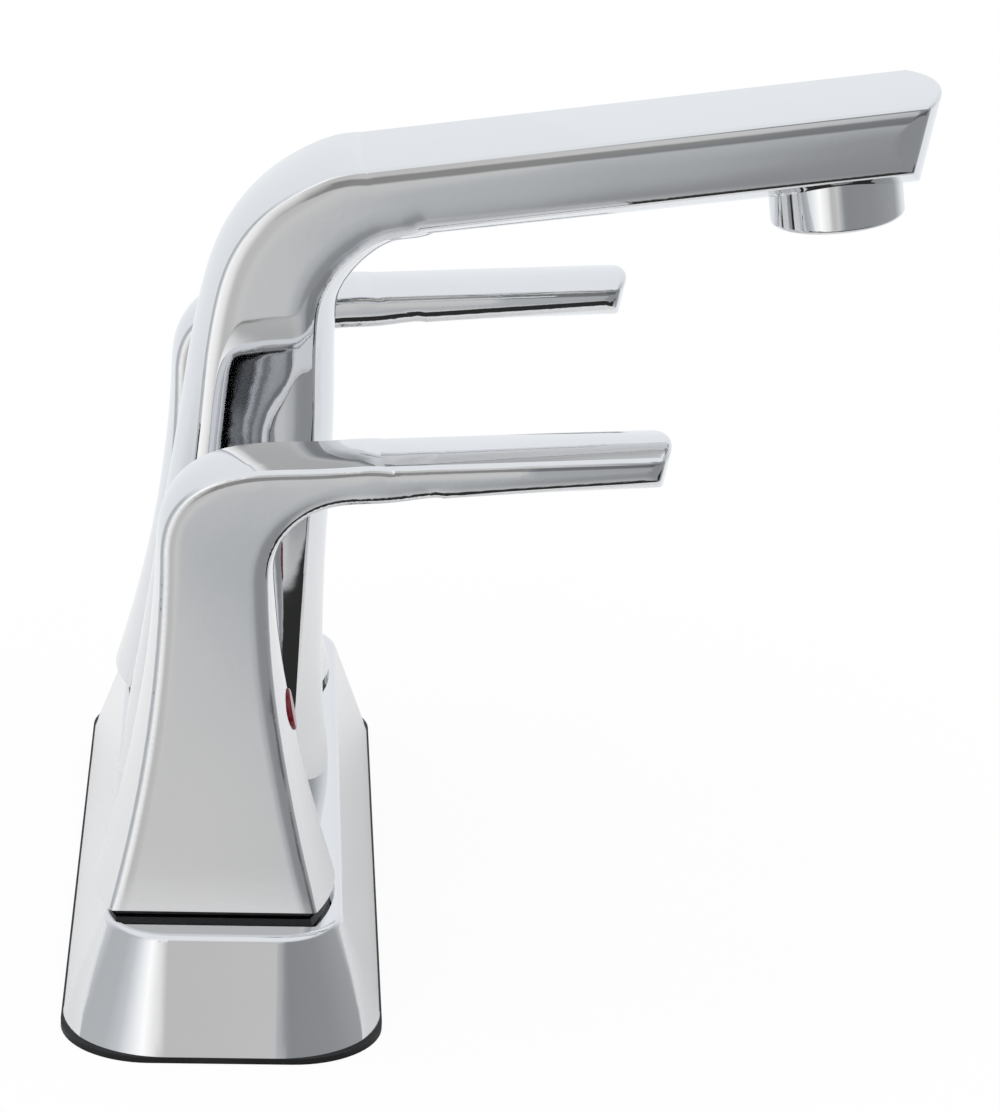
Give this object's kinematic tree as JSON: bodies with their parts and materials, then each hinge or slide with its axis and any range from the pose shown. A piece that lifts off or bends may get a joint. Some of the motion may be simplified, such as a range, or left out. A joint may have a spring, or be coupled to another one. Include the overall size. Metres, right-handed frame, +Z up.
{
  "type": "centerset bathroom faucet",
  "caption": "Chrome centerset washbasin faucet: rising straight spout between paired forward lever handles on a sloped base plate, threaded shanks below.",
  "frame": {"origin": "on the deck, under the middle of the base plate", "axes": "+Z up out of the deck, +X to the user's right, the spout and levers point to -Y"},
  "size_m": [0.1626, 0.1459, 0.195],
  "materials": {
    "polished_chrome": "mirror-polished chrome plate",
    "raw_brass": "machined brass",
    "copper_tube": "drawn copper",
    "steel_fasteners": "plain stainless",
    "steel_mesh": "perforated stainless",
    "black_rubber": "matt black rubber",
    "black_plastic": "moulded black",
    "white_plastic": "moulded white",
    "ceramic": "lapped white ceramic",
    "index_red": "glossy red",
    "index_blue": "glossy blue"
  },
  "bodies": {
    "base": {"deck_gasket": "black_rubber", "base_plate": "polished_chrome", "outlet_tee": "raw_brass", "spout_body": "polished_chrome", "spout_o_rings": "black_rubber", "spout_fixing_screws": "steel_fasteners", "aerator_housing": "polished_chrome", "aerator_screen": "steel_mesh", "aerator_insert": "white_plastic", "aerator_washer": "black_rubber", "hot_valve_body": "raw_brass", "hot_cross_tube": "copper_tube", "hot_clamp_nut": "raw_brass", "hot_cartridge_body": "raw_brass", "hot_cartridge_o_ring": "black_rubber", "hot_seat_seal": "black_rubber", "hot_fixed_disc": "ceramic", "hot_bonnet_nut": "raw_brass", "hot_mounting_washer": "steel_fasteners", "hot_mounting_nut": "black_plastic", "cold_valve_body": "raw_brass", "cold_cross_tube": "copper_tube", "cold_clamp_nut": "raw_brass", "cold_cartridge_body": "raw_brass", "cold_cartridge_o_ring": "black_rubber", "cold_seat_seal": "black_rubber", "cold_fixed_disc": "ceramic", "cold_bonnet_nut": "raw_brass", "cold_mounting_washer": "steel_fasteners", "cold_mounting_nut": "black_plastic"},
    "hot_lever": {"hot_moving_disc": "ceramic", "hot_stem": "raw_brass", "hot_stem_o_ring": "black_rubber", "hot_handle": "polished_chrome", "hot_handle_glide": "black_plastic", "hot_handle_set_screw": "steel_fasteners", "hot_index_button": "index_red"},
    "cold_lever": {"cold_moving_disc": "ceramic", "cold_stem": "raw_brass", "cold_stem_o_ring": "black_rubber", "cold_handle": "polished_chrome", "cold_handle_glide": "black_plastic", "cold_handle_set_screw": "steel_fasteners", "cold_index_button": "index_blue"}
  },
  "joints": [
    {"name": "hot_lever_turn", "type": "hinge", "parent": "base", "child": "hot_lever", "pos_m": [-0.0508, 0, 0.0206], "axis": [0, 0, 1], "range_deg": [-90, 0]},
    {"name": "cold_lever_turn", "type": "hinge", "parent": "base", "child": "cold_lever", "pos_m": [0.0508, 0, 0.0206], "axis": [0, 0, 1], "range_deg": [0, 90]}
  ]
}
